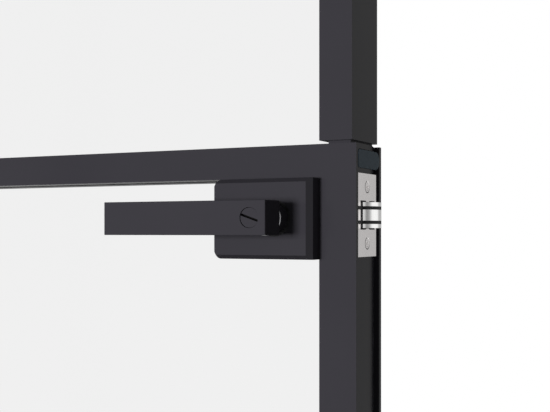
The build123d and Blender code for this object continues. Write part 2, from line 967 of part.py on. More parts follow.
def coin_turn():
    """The slotted disc in the outside lever."""
    front = -lever_front + coin_sink
    disc = rod_y(coin_radius, front, front + coin_thickness, spindle_x, spindle_height)
    slot = Box(2 * (coin_radius + overrun), 2 * coin_slot_depth, coin_slot_width)
    return disc - Pos(spindle_x, front, spindle_height) * Rot(0, coin_slot_angle, 0) * slot


def privacy_rod():
    reach = lever_front - coin_sink - coin_thickness
    return rod_y(privacy_radius, -reach, reach, spindle_x, spindle_height)


def thumb_turn():
    """The turn in the inside lever: a disc with an upright grip."""
    front = lever_front - coin_sink
    disc = rod_y(coin_radius, front - coin_thickness, front, spindle_x, spindle_height)
    grip = Plane.XZ * SlotOverall(2 * coin_radius - thumb_grip_width / 2, thumb_grip_width, rotation=90)
    blade = Pos(spindle_x, front, spindle_height) * extrude(grip, -thumb_grip_rise)
    return disc + blade


# Latch


def faceplate_outline():
    place = Pos(faceplate_y, latch_height)
    return place * RectangleRounded(faceplate_width, faceplate_height, faceplate_corner)


def faceplate_opening():
    """The opening round the bolt, with a short tongue above and below it."""
    width = bolt_width + 2 * bolt_side_gap
    height = bolt_height + 2 * bolt_end_gap
    tongue = Polyline(
        (-tongue_root_width / 2, height / 2),
        (tongue_root_width / 2, height / 2),
        (tongue_tip_width / 2, height / 2 - tongue_length),
        (-tongue_tip_width / 2, height / 2 - tongue_length),
        close=True,
    )
    upper = make_face(tongue)
    lower = mirror(upper, about=Plane.XZ)
    return Pos(bolt_y, latch_height) * (Rectangle(width, height) - upper - lower)


def faceplate():
    """The flush plate in the leaf's edge, with the bolt's opening and two countersunk holes."""
    outline = faceplate_outline() - faceplate_opening()
    plate = extrude(Plane.YZ.offset(faceplate_back) * outline, faceplate_thickness)
    return plate - case_ribs(fit, overrun) - faceplate_screws(fit, faceplate_screw_rim)


def faceplate_screws(room=0, rim=0):
    rise = faceplate_screw_spacing / 2
    heights = (latch_height - rise, latch_height + rise)
    return [screw(faceplate_out, faceplate_y, z, room, rim) for z in heights]


def strip_heights():
    """The lower edges of the two dark strips."""
    return [latch_height + way * bolt_strip_spacing / 2 - bolt_strip_height / 2 for way in (-1, 1)]


def case_ribs(room=0, beyond=0):
    """Two ribs of the latch case that carry the bolt's strips on across the plate, or their slots."""
    front = -half + rib_setback - room
    land = bolt_front - bolt_side_gap
    back = bolt_front - seat
    out = faceplate_out + beyond
    ribs = []
    for low in strip_heights():
        span = (low - room, low + bolt_strip_height + room)
        rib = block(faceplate_out - rib_depth, out, front, back, *span)
        ribs.append(rib + block(faceplate_back, out, land, back, *span))
    return ribs


def latch_case():
    """The rectangular tube that the bolt slides in, closed behind but for the tail."""
    outer = Pos(bolt_y, latch_height) * Rectangle(latch_case_width, latch_case_height)
    bore = Pos(bolt_y, latch_height) * Rectangle(latch_bore_width, latch_bore_height)
    start = faceplate_back - latch_case_length
    case = extrude(Plane.YZ.offset(start) * outer, latch_case_length)
    case -= extrude(Plane.YZ.offset(start + latch_case_wall) * bore, latch_case_length)
    for rib in case_ribs():
        case += rib
    tail_low = latch_height + bolt_height / 2 - tail_thickness
    return case - block(
        start - overrun,
        start + overrun,
        bolt_y - tail_width / 2 - seat,
        bolt_y + tail_width / 2 + seat,
        tail_low - seat,
        latch_height + latch_bore_height / 2,
    )


def bolt_outline():
    """The bolt from above: a bulged bevel towards the outside, a flat tip and a square back."""
    tip_x = faceplate_out + bolt_throw
    bevel_end = bolt_front + bolt_width - bolt_tip
    bevel = SagittaArc((faceplate_out, bolt_front), (tip_x, bevel_end), -bolt_bulge_depth)
    rest = Polyline(
        (tip_x, bevel_end),
        (tip_x, bolt_front + bolt_width),
        (bolt_back, bolt_front + bolt_width),
        (bolt_back, bolt_front),
        (faceplate_out, bolt_front),
    )
    return make_face([bevel, *rest.edges()])


def bolt_strip_section():
    """The skin of the bolt's nose, from just behind the plate, that the dark strips take up."""
    core = offset(bolt_outline(), amount=-bolt_strip_depth, kind=Kind.INTERSECTION)
    reach = bolt_strip_root + bolt_throw + overrun
    nose = Pos(faceplate_out - bolt_strip_root + reach / 2, bolt_y) * Rectangle(reach, 2 * bolt_width)
    return (bolt_outline() - core) & nose


def bolt_strips():
    """Two dark strips round the bolt's nose."""
    return [Pos(0, 0, low) * extrude(bolt_strip_section(), bolt_strip_height) for low in strip_heights()]


def latch_bolt():
    """The bevelled bolt and its flat tail, with a window for the cam's arm."""
    low = latch_height - bolt_height / 2
    bolt = Pos(0, 0, low) * extrude(bolt_outline(), bolt_height)
    for strip in bolt_strips():
        bolt -= strip
    high = low + bolt_height
    window = spindle_x - cam_arm_width / 2 - tail_play
    tail = block(
        window - tail_end,
        bolt_back,
        bolt_y - tail_width / 2,
        bolt_y + tail_width / 2,
        high - tail_thickness,
        high,
    )
    tail -= block(
        window,
        spindle_x + cam_arm_width,
        bolt_y - cam_arm_depth / 2 - seat,
        bolt_y + cam_arm_depth / 2 + seat,
        high - tail_thickness,
        high,
    )
    return bolt + tail


def latch_cam():
    """The hub on the spindle whose arm draws the tail back."""
    front = bolt_y - cam_width / 2
    cam = rod_y(cam_radius, front, front + cam_width, spindle_x, spindle_height)
    cam += block(
        spindle_x - cam_arm_width / 2,
        spindle_x + cam_arm_width / 2,
        bolt_y - cam_arm_depth / 2,
        bolt_y + cam_arm_depth / 2,
        spindle_height,
        spindle_height + cam_arm_reach,
    )
    socket = spindle_side / 2 + fit
    return cam - block(
        spindle_x - socket,
        spindle_x + socket,
        front,
        front + cam_width,
        spindle_height - socket,
        spindle_height + socket,
    )


def latch_spring():
    """The coil that pushes the bolt out, between the case's end and the bolt."""
    start = faceplate_back - latch_case_length + latch_case_wall + spring_wire
    length = bolt_back - spring_wire - start
    path = Helix(length / spring_turns, length, spring_radius, center=(start, 0, 0), direction=(1, 0, 0))
    wire = Plane(path @ 0, z_dir=path % 0) * RegularPolygon(spring_wire, spring_wire_sides)
    drop = (latch_bore_height - bolt_height) / 2 + tail_thickness / 2
    return Pos(0, bolt_y, latch_height - drop) * sweep(wire, path)


# The finished pieces, each with its carrier

frame_pieces = {
    "hinge_jamb": hinge_jamb(),
    "latch_jamb": latch_jamb(),
    "head_jamb": head_jamb(),
    "frame_cleats": frame_cleats(),
    "hinge_stop": side_stop(jamb_left, -1),
    "latch_stop": side_stop(jamb_right, 1),
    "head_stop": head_strip(stop_section(), 0),
    "hinge_stop_seal": side_seal(jamb_left, -1),
    "latch_stop_seal": side_seal(jamb_right, 1),
    "head_stop_seal": head_strip(seal_section(), stop_length),
    "strike_plate": strike_plate(),
    "strike_box": strike_box(),
    "strike_screws": strike_screws(),
    "hinge_frame_screws": hinge_screws(-1),
    "hinge_pins": [hinge_pin(bottom) for bottom in hinge_bottoms()],
}
leaf_pieces = {
    "lower_latch_stile": lower_latch_stile(),
    "lower_hinge_stile": lower_hinge_stile(),
    "upper_latch_post": upper_latch_post(),
    "upper_hinge_post": upper_hinge_post(),
    "lock_rail": lock_rail(),
    "bottom_rail": bottom_rail(),
    "top_rail": top_rail(),
    "bottom_brush": bottom_brush(),
    "latch_splice": splice(latch_inner, latch_inner, 1),
    "hinge_splice": splice(hinge_inner, hinge_post_inner, -1),
    "rail_tenons": rail_tenons(),
    "rail_screws": rail_screws(),
    "latch_edge_cap": edge_cap(1),
    "hinge_edge_cap": edge_cap(-1),
    "lower_glass": lower_glass(),
    "upper_glass": upper_glass(),
    "lower_gaskets": lower_gaskets(),
    "upper_gaskets": upper_gaskets(),
    "lock_box": lock_box(),
    "outer_cover": outer_cover(),
    "inner_cover": inner_cover(),
    "cover_bolts": cover_bolts(),
    "cover_bushes": [cover_bush(), inside_out(cover_bush())],
    "latch_faceplate": faceplate(),
    "faceplate_screws": faceplate_screws(),
    "latch_case": latch_case(),
    "latch_spring": latch_spring(),
    "hinge_leaf_screws": hinge_screws(1),
    "outer_lever": lever(),
    "inner_lever": inside_out(lever()),
    "lever_rings": [lever_ring(), inside_out(lever_ring())],
    "grub_screws": [grub_screw(), inside_out(grub_screw())],
    "spindle": spindle(),
    "latch_cam": latch_cam(),
    "latch_bolt": latch_bolt(),
    "bolt_strips": bolt_strips(),
    "coin_turn": coin_turn(),
    "privacy_rod": privacy_rod(),
    "thumb_turn": thumb_turn(),
}
for number, bottom in enumerate(hinge_bottoms(), 1):
    frame_pieces[f"hinge_{number}_frame_wing"] = frame_wing(bottom)
    leaf_pieces[f"hinge_{number}_leaf_wing"] = leaf_wing(bottom)


def whole(piece):
    """One shape from a piece, or from a list of like pieces."""
    return Compound(piece) if isinstance(piece, list) else piece


# The frame turns about the hinge axis, and the foot's middle becomes the origin
on_axis = Pos(0, -axis_y)
turned = Rot(0, 0, -open_angle) * on_axis
foot = turned * Pos(jamb_left - jamb_face / 2, frame_mid_y)
to_foot = Pos(-foot.position.X, -foot.position.Y)
for name, piece in frame_pieces.items():
    export_step(to_foot * turned * whole(piece), f"parts/{name}.step")
for name, piece in leaf_pieces.items():
    export_step(to_foot * on_axis * whole(piece), f"parts/{name}.step")
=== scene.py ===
# %% [markdown]
# # A slim black glass door, dressed for its portrait
#
# The door was modelled elsewhere as exact solids. This lesson loads those solids as a fixed frame,
# gives every piece a finish made of shader nodes, adds the few pieces that are easier to draw as
# surfaces (cross-recessed screws, the latch's spring and the brush under the leaf), and sets up a
# small white studio.
# Every length is in metres, with +Z up and the floor at zero.

# %% load the frame
import math

import bpy
import numpy as np
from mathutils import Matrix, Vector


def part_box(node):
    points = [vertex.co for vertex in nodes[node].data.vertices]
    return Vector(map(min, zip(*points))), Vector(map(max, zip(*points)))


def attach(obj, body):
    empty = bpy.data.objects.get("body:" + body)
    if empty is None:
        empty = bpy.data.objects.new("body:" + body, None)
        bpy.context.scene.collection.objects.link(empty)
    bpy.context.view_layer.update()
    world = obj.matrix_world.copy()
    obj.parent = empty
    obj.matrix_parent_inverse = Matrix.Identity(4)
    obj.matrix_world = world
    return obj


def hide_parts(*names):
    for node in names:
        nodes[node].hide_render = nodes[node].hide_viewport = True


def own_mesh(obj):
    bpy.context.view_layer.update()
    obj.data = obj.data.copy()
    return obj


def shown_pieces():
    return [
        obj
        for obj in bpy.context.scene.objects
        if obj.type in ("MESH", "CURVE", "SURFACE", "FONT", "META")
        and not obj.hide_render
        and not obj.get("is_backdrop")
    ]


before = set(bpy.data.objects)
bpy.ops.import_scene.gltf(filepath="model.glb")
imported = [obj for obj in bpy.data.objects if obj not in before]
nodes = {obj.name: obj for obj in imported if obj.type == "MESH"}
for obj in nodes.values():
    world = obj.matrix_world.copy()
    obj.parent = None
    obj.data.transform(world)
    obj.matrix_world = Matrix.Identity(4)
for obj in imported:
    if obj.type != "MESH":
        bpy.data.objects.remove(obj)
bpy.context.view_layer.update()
print("solids loaded:", len(nodes))

# %% [markdown]
# ## A short way to write shader nodes
#
# A finish is a graph of nodes. Writing each one takes three lines: make it, set it, link it. Two
# small helpers keep the graphs readable: one starts a material, the other does those three lines.

# %% node helpers
def new_finish(name):
    """A material with an empty graph but for its Principled shader and output."""
    material = bpy.data.materials.new(name)
    material.use_nodes = True
    return material, material.node_tree, material.node_tree.nodes["Principled BSDF"]


def add(tree, kind, links=(), **settings):
    """A node of this kind; settings are properties or sockets by name, links are (socket, source)."""
    node = tree.nodes.new(kind)
    for key, value in settings.items():
        if hasattr(node, key):
            setattr(node, key, value)
        else:
            node.inputs[key.replace("_", " ")].default_value = value
    for name, source in links:
        tree.links.new(source, node.inputs[name])
    return node


print("node helpers ready")

# %% [markdown]
# ## From a noise to tone, roughness and relief
#
# No real surface is one flat tone. A noise texture gives each finish its drift of tone, its change of
# roughness and its fine relief. An image could do that too, but a noise has no seams and needs no
# unwrapping. Patterns read Object coordinates, which are metres here, so a noise scale of 900 means
# grains of about a millimetre. Most of a noise lies between 0.3 and 0.7, so that span is what the
# helpers stretch to the wanted range.

# %% noise helpers
NOISE_LOW, NOISE_HIGH = 0.3, 0.7
EVEN = (1.0, 1.0, 1.0)


def grain(tree, scale, detail=3.0, stretch=EVEN):
    """A noise in Object coordinates; stretch below 1 along an axis draws the grains out along it."""
    place = add(tree, "ShaderNodeTexCoord").outputs["Object"]
    drawn = add(tree, "ShaderNodeMapping", [("Vector", place)], Scale=stretch).outputs["Vector"]
    return add(tree, "ShaderNodeTexNoise", [("Vector", drawn)], Scale=scale, Detail=detail)


def between(tree, source, low, high):
    """A value that follows source, spread from low to high."""
    spread = add(tree, "ShaderNodeMapRange", [("Value", source)])
    spread.inputs["From Min"].default_value = NOISE_LOW
    spread.inputs["From Max"].default_value = NOISE_HIGH
    spread.inputs["To Min"].default_value = low
    spread.inputs["To Max"].default_value = high
    return spread.outputs["Result"]


def tint(tree, source, dark, light):
    """A colour that follows source, from dark to light."""
    ramp = add(tree, "ShaderNodeValToRGB", [("Fac", source)])
    ramp.color_ramp.elements[0].position = NOISE_LOW
    ramp.color_ramp.elements[1].position = NOISE_HIGH
    ramp.color_ramp.elements[0].color = (*dark, 1.0)
    ramp.color_ramp.elements[1].color = (*light, 1.0)
    return ramp.outputs["Color"]


def relief(tree, shader, source, height, strength):
    """Fine relief on the shader's normal, up to this height in metres."""
    bump = add(tree, "ShaderNodeBump", [("Height", source)], Strength=strength, Distance=height)
    tree.links.new(bump.outputs["Normal"], shader.inputs["Normal"])


print("noise helpers ready")

# %% [markdown]
# ## Black powder coat
#
# The extrusions, covers and levers are aluminium under a satin black powder coat. The coat is not
# quite black: it has a fine orange-peel skin about a millimetre across, and it scatters a little
# light. Most of what the eye sees is the broad soft reflection of the studio, so the coat keeps a
# low roughness that varies with the same skin. The slot of the coin turn has painted shade: its
# colour darkens to near black with the depth behind the turn's face, where the recess lies in shade.

# %% powder coat
DARK, LIGHT = (0.0415, 0.0394, 0.0475), (0.0430, 0.0409, 0.0490)
# Near black of the painted shade inside the coin turn's slot.
SLOT_SHADE_BLACK = (0.004, 0.004, 0.004, 1.0)
COAT_LEVEL = 0.073
FRAME_ROUGH, LEVER_ROUGH, ROUGH_SPREAD = 0.20, 0.18, 0.04
PEEL_SCALE, CLOUD_SCALE = 900.0, 14.0
PEEL_HEIGHT, PEEL_STRENGTH = 0.00004, 0.04
# Depth behind the coin turn's face over which the painted shade goes from the coat to near black.
SLOT_SHADE_DEPTH = 0.0006


def powder_coat(name, rough):
    """A coat whose tone drifts slowly from dark to light; roughness and relief follow the fine skin."""
    material, tree, shader = new_finish(name)
    peel = grain(tree, PEEL_SCALE).outputs["Fac"]
    cloud = grain(tree, CLOUD_SCALE, detail=2.0).outputs["Fac"]
    roughness = between(tree, peel, rough - ROUGH_SPREAD, rough + ROUGH_SPREAD)
    tree.links.new(tint(tree, cloud, DARK, LIGHT), shader.inputs["Base Color"])
    tree.links.new(roughness, shader.inputs["Roughness"])
    shader.inputs["Specular IOR Level"].default_value = COAT_LEVEL
    relief(tree, shader, peel, PEEL_HEIGHT, PEEL_STRENGTH)
    return material


def slot_shade_coat(name, face, depth):
    """The coat with painted shade: near black within this depth behind the face, which looks along -y.
    """
    material = powder_coat(name, LEVER_ROUGH)
    tree = material.node_tree
    base = tree.nodes["Principled BSDF"].inputs["Base Color"]
    place = add(tree, "ShaderNodeTexCoord")
    split = add(tree, "ShaderNodeSeparateXYZ", [("Vector", place.outputs["Object"])])
    behind = add(tree, "ShaderNodeMapRange", [("Value", split.outputs["Y"])])
    behind.inputs["From Min"].default_value = face
    behind.inputs["From Max"].default_value = face + depth
    # Painted shade: deeper in the slot, the colour mixes towards near black.
    painted_shade = add(tree, "ShaderNodeMix", data_type="RGBA")
    tree.links.new(behind.outputs["Result"], painted_shade.inputs["Factor"])
    tree.links.new(base.links[0].from_socket, painted_shade.inputs["A"])
    painted_shade.inputs["B"].default_value = SLOT_SHADE_BLACK
    tree.links.new(painted_shade.outputs["Result"], base)
    return material


frame_coat = powder_coat("frame_coat", FRAME_ROUGH)
lever_coat = powder_coat("lever_coat", LEVER_ROUGH)
# The coin turn's coat carries painted shade in its slot.
turn_coat_slot_shade = slot_shade_coat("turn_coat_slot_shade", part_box("coin_turn")[0][1], SLOT_SHADE_DEPTH)
print("coats:", frame_coat.name, lever_coat.name, turn_coat_slot_shade.name)

# %% [markdown]
# ## Clear glass
#
# Both panes are clear float glass, a shade grey when the white studio is seen through them. A
# Principled shader with full transmission refracts at both faces. The picture shows no reflections
# in the panes, as if taken through a polarising filter, so the index of refraction is set close to
# that of air. The grey goes on the base colour, with a very slow noise so that it isn't one flat tone.

# %% glass
GLASS_DARK, GLASS_LIGHT = (0.868, 0.868, 0.868), (0.872, 0.872, 0.872)
GLASS_INDEX = 1.06
GLASS_ROUGH = 0.004
SLOW_SCALE = 3.0


def pane_glass():
    """Clear glass whose grey and trace of roughness follow one slow noise."""
    material, tree, shader = new_finish("pane_glass")
    slow = grain(tree, SLOW_SCALE, detail=1.0).outputs["Fac"]
    tree.links.new(tint(tree, slow, GLASS_DARK, GLASS_LIGHT), shader.inputs["Base Color"])
    tree.links.new(between(tree, slow, 0.0, GLASS_ROUGH), shader.inputs["Roughness"])
    shader.inputs["Transmission Weight"].default_value = 1.0
    shader.inputs["IOR"].default_value = GLASS_INDEX
    return material


glass = pane_glass()
print("glass:", glass.name)

# %% [markdown]
# ## Bright metals
#
# The faceplate and bolt are polished steel with a trace of drawing lines along their height. The rings
# on the levers' necks are a darker steel. Most screws, the spindle, the spring and the pins are zinc
# plated: duller, a little blue, with cloudy patches. The cleats and tenons inside the extrusions are
# mill aluminium with saw lines. One function makes all of them: a metal with two tones, a roughness
# and a grain that can be stretched into lines.

# %% metals
SMOOTHER, ROUGHER = 0.03, 0.05
LINE_HEIGHT = 0.00002


def bright_metal(name, dark, light, rough, scale, strength, stretch=EVEN):
    """A metal whose tone, roughness and relief follow one grain, drawn out along an axis by stretch."""
    material, tree, shader = new_finish(name)
    lines = grain(tree, scale, detail=4.0, stretch=stretch).outputs["Fac"]
    roughness = between(tree, lines, rough - SMOOTHER, rough + ROUGHER)
    tree.links.new(tint(tree, lines, dark, light), shader.inputs["Base Color"])
    tree.links.new(roughness, shader.inputs["Roughness"])
    shader.inputs["Metallic"].default_value = 1.0
    relief(tree, shader, lines, LINE_HEIGHT, strength)
    return material


polished = bright_metal(
    "polished_steel", (0.845, 0.815, 0.805), (0.890, 0.860, 0.850),
    rough=0.20, scale=2200.0, strength=0.03, stretch=(1.0, 1.0, 0.04),
)
bolt_steel = bright_metal(
    "bolt_steel", (0.900, 0.895, 0.885), (0.940, 0.935, 0.925),
    rough=0.14, scale=1800.0, strength=0.03, stretch=(1.0, 1.0, 0.05),
)
ring_steel = bright_metal(
    "ring_steel", (0.30, 0.30, 0.31), (0.36, 0.36, 0.37), rough=0.24, scale=1800.0, strength=0.03
)
zinc = bright_metal(
    "zinc_plate", (0.46, 0.47, 0.48), (0.56, 0.57, 0.58), rough=0.30, scale=700.0, strength=0.06
)
mill = bright_metal(
    "mill_aluminium", (0.62, 0.62, 0.63), (0.72, 0.72, 0.73),
    rough=0.38, scale=600.0, strength=0.10, stretch=(0.05, 1.0, 1.0),
)
print("metals:", polished.name, bolt_steel.name, ring_steel.name, zinc.name, mill.name)

# %% [markdown]
# ## Plastics, rubber and brush
#
# Gaskets and seals are matt black rubber with a slight bloom. Bushes and the bolt's strips are black
# nylon, the splices between stile and post a nylon in the tone of the coat, and the edge caps a dark
# blue-grey nylon with a moulded grain. All are dull dielectrics that differ in tone, grain size and
# roughness.

# %% dull finishes
SPECK_SPREAD = 0.05
SPECK_HEIGHT = 0.00005


def dull(name, dark, light, rough, scale, strength, level):
    """A dull dielectric whose tone, roughness and relief follow one fine speckle."""
    material, tree, shader = new_finish(name)
    speck = grain(tree, scale).outputs["Fac"]
    roughness = between(tree, speck, rough - SPECK_SPREAD, rough + SPECK_SPREAD)
    tree.links.new(tint(tree, speck, dark, light), shader.inputs["Base Color"])
    tree.links.new(roughness, shader.inputs["Roughness"])
    shader.inputs["Specular IOR Level"].default_value = level
    relief(tree, shader, speck, SPECK_HEIGHT, strength)
    return material


rubber = dull(
    "gasket_rubber", (0.022, 0.022, 0.023), (0.034, 0.034, 0.036),
    rough=0.62, scale=500.0, strength=0.15, level=0.2,
)
black_nylon = dull(
    "black_nylon", (0.014, 0.014, 0.015), (0.021, 0.021, 0.022),
    rough=0.5, scale=800.0, strength=0.12, level=0.2,
)
cap_nylon = dull(
    "cap_nylon", (0.064, 0.098, 0.128), (0.070, 0.106, 0.136),
    rough=0.5, scale=800.0, strength=0.12, level=0.140,
)
splice_nylon = dull(
    "splice_nylon", DARK, LIGHT, rough=0.45, scale=800.0, strength=0.1, level=COAT_LEVEL
)
pile = dull(
    "brush_pile", (0.018, 0.018, 0.018), (0.040, 0.040, 0.040),
    rough=0.8, scale=1500.0, strength=0.2, level=0.1,
)
print("dull finishes:", rubber.name, black_nylon.name, splice_nylon.name, cap_nylon.name, pile.name)

# %% [markdown]
# ## Each solid gets its finish
#
# The solids arrive with plain placeholder colours. A table from finish to nodes replaces them all,
# and a count shows that none was missed. The panes cast no shadow, because real clear glass lets
# nearly all light through and a ray tracer would need many samples to find that out.

# %% dress the solids
finishes = {
    frame_coat: [
        "hinge_jamb", "latch_jamb", "head_jamb", "hinge_stop", "latch_stop", "head_stop",
        "lower_latch_stile", "lower_hinge_stile", "upper_latch_post", "upper_hinge_post",
        "lock_rail", "bottom_rail", "top_rail", "lock_box",
        *[f"hinge_{number}_{side}_wing" for number in (1, 2, 3) for side in ("frame", "leaf")],
    ],
    lever_coat: ["outer_cover", "inner_cover", "outer_lever", "inner_lever", "thumb_turn"],
    turn_coat_slot_shade: ["coin_turn"],
    glass: ["lower_glass", "upper_glass"],
    polished: ["latch_faceplate", "faceplate_screws", "strike_plate"],
    ring_steel: ["lever_rings"],
    bolt_steel: ["latch_bolt"],
    zinc: [
        "strike_screws", "hinge_frame_screws", "hinge_leaf_screws", "hinge_pins", "rail_screws",
        "cover_bolts", "grub_screws", "spindle", "latch_cam", "latch_spring", "privacy_rod",
    ],
    mill: ["frame_cleats", "rail_tenons"],
    rubber: ["hinge_stop_seal", "latch_stop_seal", "head_stop_seal", "lower_gaskets", "upper_gaskets"],
    black_nylon: ["cover_bushes", "bolt_strips", "strike_box", "latch_case"],
    splice_nylon: ["latch_splice", "hinge_splice"],
    cap_nylon: ["latch_edge_cap", "hinge_edge_cap"],
    pile: ["bottom_brush"],
}
dressed = 0
for material, names in finishes.items():
    for name in names:
        nodes[name].data.materials.clear()
        nodes[name].data.materials.append(material)
        dressed += 1
for name in ("lower_glass", "upper_glass"):
    nodes[name].visible_shadow = False
print("solids dressed:", dressed, "of", len(nodes))

# %% [markdown]
# ## Closed skins from rings
#
# Screws, spring and bristles are alike: a stack of rings, each a closed loop of points, joined by
# quads and closed at both ends by a fan. One function builds many copies at once from an array that
# counts copies, rings, points and coordinates. The rings run along the axis and turn to the left
# about it, which makes every face look outwards.

# %% skins
def skin(name, rings, material):
    """A closed mesh: each point joins its neighbours along its ring and its like on the next ring."""
    copies, count, turns, _ = rings.shape
    middles = rings[:, [0, -1]].mean(axis=2)
    points = np.concatenate([rings.reshape(copies, count * turns, 3), middles], axis=1)
    here = np.arange(turns)
    after = (here + 1) % turns
    row = np.arange(count - 1)[:, None] * turns
    quads = np.stack([row + here, row + after, row + turns + after, row + turns + here], axis=-1)
    last = (count - 1) * turns
    first_fan = np.stack([np.full(turns, count * turns), after, here], axis=1)
    last_fan = np.stack([np.full(turns, count * turns + 1), last + here, last + after], axis=1)
    step = (np.arange(copies) * points.shape[1])[:, None, None]
    all_quads = (quads.reshape(1, -1, 4) + step).reshape(-1, 4)
    all_fans = (np.concatenate([first_fan, last_fan])[None] + step).reshape(-1, 3)
    mesh = bpy.data.meshes.new(name)
    mesh.from_pydata(points.reshape(-1, 3).tolist(), [], all_quads.tolist() + all_fans.tolist())
    mesh.materials.append(material)
    piece = bpy.data.objects.new(name, mesh)
    bpy.context.scene.collection.objects.link(piece)
    return piece


print("skins ready")

# %% [markdown]
# ## Where the screws sit
#
# The solids carry plain cones for the screws of the faceplate, the strike and the hinges. Their places
# could be typed again, but the solids already hold them: sorted by height, a node's points fall into
# one group for each screw. The longer side of a group's box is the screw's axis, and the end whose
# points lie wide is the head.

# %% screw places
HEAD, SHANK = 0.0036, 0.0020
APART, SAME = 0.004, 1e-5


def screw_places(name):
    """Middle of each screw's head, the axis it lies along and which way its head looks."""
    mesh = nodes[name].data
    flat = np.empty(3 * len(mesh.vertices))
    mesh.vertices.foreach_get("co", flat)
    points = flat.reshape(-1, 3)
    points = points[points[:, 2].argsort()]
    groups = np.split(points, np.nonzero(np.diff(points[:, 2]) > APART)[0] + 1)
    low = np.array([group.min(axis=0) for group in groups])
    high = np.array([group.max(axis=0) for group in groups])
    axis = int((high - low)[0, :2].argmax())
    across = 1 - axis
    middle = (low + high) / 2
    one = groups[0]
    at_high = np.abs(one[:, axis] - high[0, axis]) < SAME
    wide = np.abs(one[at_high, across] - middle[0, across]).max()
    way = 1 if wide > (HEAD + SHANK) / 2 else -1
    heads = middle.copy()
    heads[:, axis] = high[:, axis] if way > 0 else low[:, axis]
    return heads, axis, way


print("screws in the faceplate:", len(screw_places("faceplate_screws")[0]))

# %% [markdown]
# ## A countersunk head with a cross recess
#
# A real head is pressed and turned from wire, and its cross is pressed in with a punch, so the recess
# has sloping walls and a flat floor. It could be cut with a boolean, but a height field over the head's
# own disc is shorter: the height is zero, less the depth of the punch wherever the point lies inside
# either bar of the cross.

# %% one screw
LENGTH, CONE = 0.0120, 0.0020
POINT, INNERMOST = 0.6 * SHANK, HEAD / 40
BAR, ARM, SLOPE, PUNCH = 0.00050, 0.0021, 0.00035, 0.0011
TURNS, FACE_RINGS = 48, 26


def wall(edge, value):
    """One within the edge on either side of zero, falling to zero across the punch's slope."""
    return np.clip((edge - np.abs(value)) / SLOPE + 0.5, 0.0, 1.0)


def screw_rings():
    """One screw along z, head at zero: rings up the shank and cone, then inwards over the recess."""
    shank_radius = [POINT, SHANK, SHANK]
    shank_height = [-LENGTH, -LENGTH + SHANK, -CONE]
    face_radius = np.linspace(HEAD, INNERMOST, FACE_RINGS)
    radius = np.concatenate([shank_radius, face_radius])
    height = np.concatenate([shank_height, np.zeros(FACE_RINGS)])
    angle = np.linspace(0.0, 2.0 * np.pi, TURNS, endpoint=False)
    x = np.outer(radius, np.cos(angle))
    y = np.outer(radius, np.sin(angle))
    cross = np.maximum(wall(BAR, x) * wall(ARM, y), wall(BAR, y) * wall(ARM, x))
    inside_rim = (np.arange(radius.size) > len(shank_radius))[:, None]
    return np.stack([x, y, height[:, None] - PUNCH * cross * inside_rim], axis=-1)


one_screw = screw_rings()
print("points on a screw:", one_screw[..., 0].size)

# %% [markdown]
# ## Every screw in its place
#
# A fitter drives the same screw into every hole, so the one screw is turned onto each node's axis and
# copied to its places. A loop of linked objects would do, but one mesh for each node keeps the list of
# pieces short. The faceplate's screws are polished like the plate, and the others are zinc plated.

# %% screws
def screws(name, body, material):
    """All screws of a node: the one screw turned onto the node's axis and set at each place."""
    heads, axis, way = screw_places(name)
    x, y, z = np.moveaxis(one_screw, -1, 0)
    turned = np.stack([way * z, way * x, y] if axis == 0 else [-way * x, way * z, y], axis=-1)
    piece = skin(name + "_cross", heads[:, None, None, :] + turned[None], material)
    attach(piece, body)
    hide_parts(name)
    return len(heads)


made = {
    "faceplate_screws": screws("faceplate_screws", "leaf", polished),
    "strike_screws": screws("strike_screws", "frame", zinc),
    "hinge_frame_screws": screws("hinge_frame_screws", "frame", zinc),
    "hinge_leaf_screws": screws("hinge_leaf_screws", "leaf", zinc),
}
print("screws:", made)

# %% [markdown]
# ## The spring behind the bolt
#
# The bolt is pushed out by a coil of round wire, wound on a mandrel with its end turns closer
# together. It could be a curve with a bevel, but a circle carried along a helix is as short and stays
# a plain mesh.

# %% spring
WIRE, COILS, CROWD = 0.00055, 6, 0.6
STEPS, SIDES = 240, 10


def coil_rings(low, high, steps, sides):
    """A circle carried along a helix: the advance is the turn less a sine, so the end coils crowd."""
    t = np.linspace(0.0, 1.0, steps)
    turn = 2.0 * np.pi * COILS * t
    run = high[0] - low[0] - 2.0 * WIRE
    radius = (high[1] - low[1]) / 2 - WIRE
    x = low[0] + WIRE + run * (t - CROWD * np.sin(2.0 * np.pi * t) / (2.0 * np.pi))
    advance = run * (1.0 - CROWD * np.cos(2.0 * np.pi * t))
    out = np.stack([np.zeros(steps), np.cos(turn), np.sin(turn)], axis=1)
    spin = 2.0 * np.pi * COILS * radius
    along = np.stack([advance, -spin * np.sin(turn), spin * np.cos(turn)], axis=1)
    along /= np.linalg.norm(along, axis=1, keepdims=True)
    beside = np.cross(along, out)
    middle_y, middle_z = (low[1] + high[1]) / 2, (low[2] + high[2]) / 2
    middle = np.stack([x, np.full(steps, middle_y), np.full(steps, middle_z)], axis=1)
    angle = np.linspace(0.0, 2.0 * np.pi, sides, endpoint=False)[None, :, None]
    circle = np.cos(angle) * out[:, None] + np.sin(angle) * beside[:, None]
    return (middle + radius * out)[:, None] + WIRE * circle


low, high = (np.array(corner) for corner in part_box("latch_spring"))
spring = skin("coil_spring", coil_rings(low, high, STEPS, SIDES)[None], zinc)
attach(spring, "leaf")
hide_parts("latch_spring")
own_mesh(spring)
print("spring length:", round(1000.0 * (high[0] - low[0]), 1), "mm")

# %% [markdown]
# ## The brush under the leaf
#
# A strip of pile keeps draughts out under the bottom rail. It is woven as a dense row of nylon hairs
# on a flat back that slides into the rail. Here each hair is a tapered square prism that leans a
# little, its root sunk in the back. The lean is a sum of two sines along the strip and the length
# another, so the brush looks uneven but is always the same.

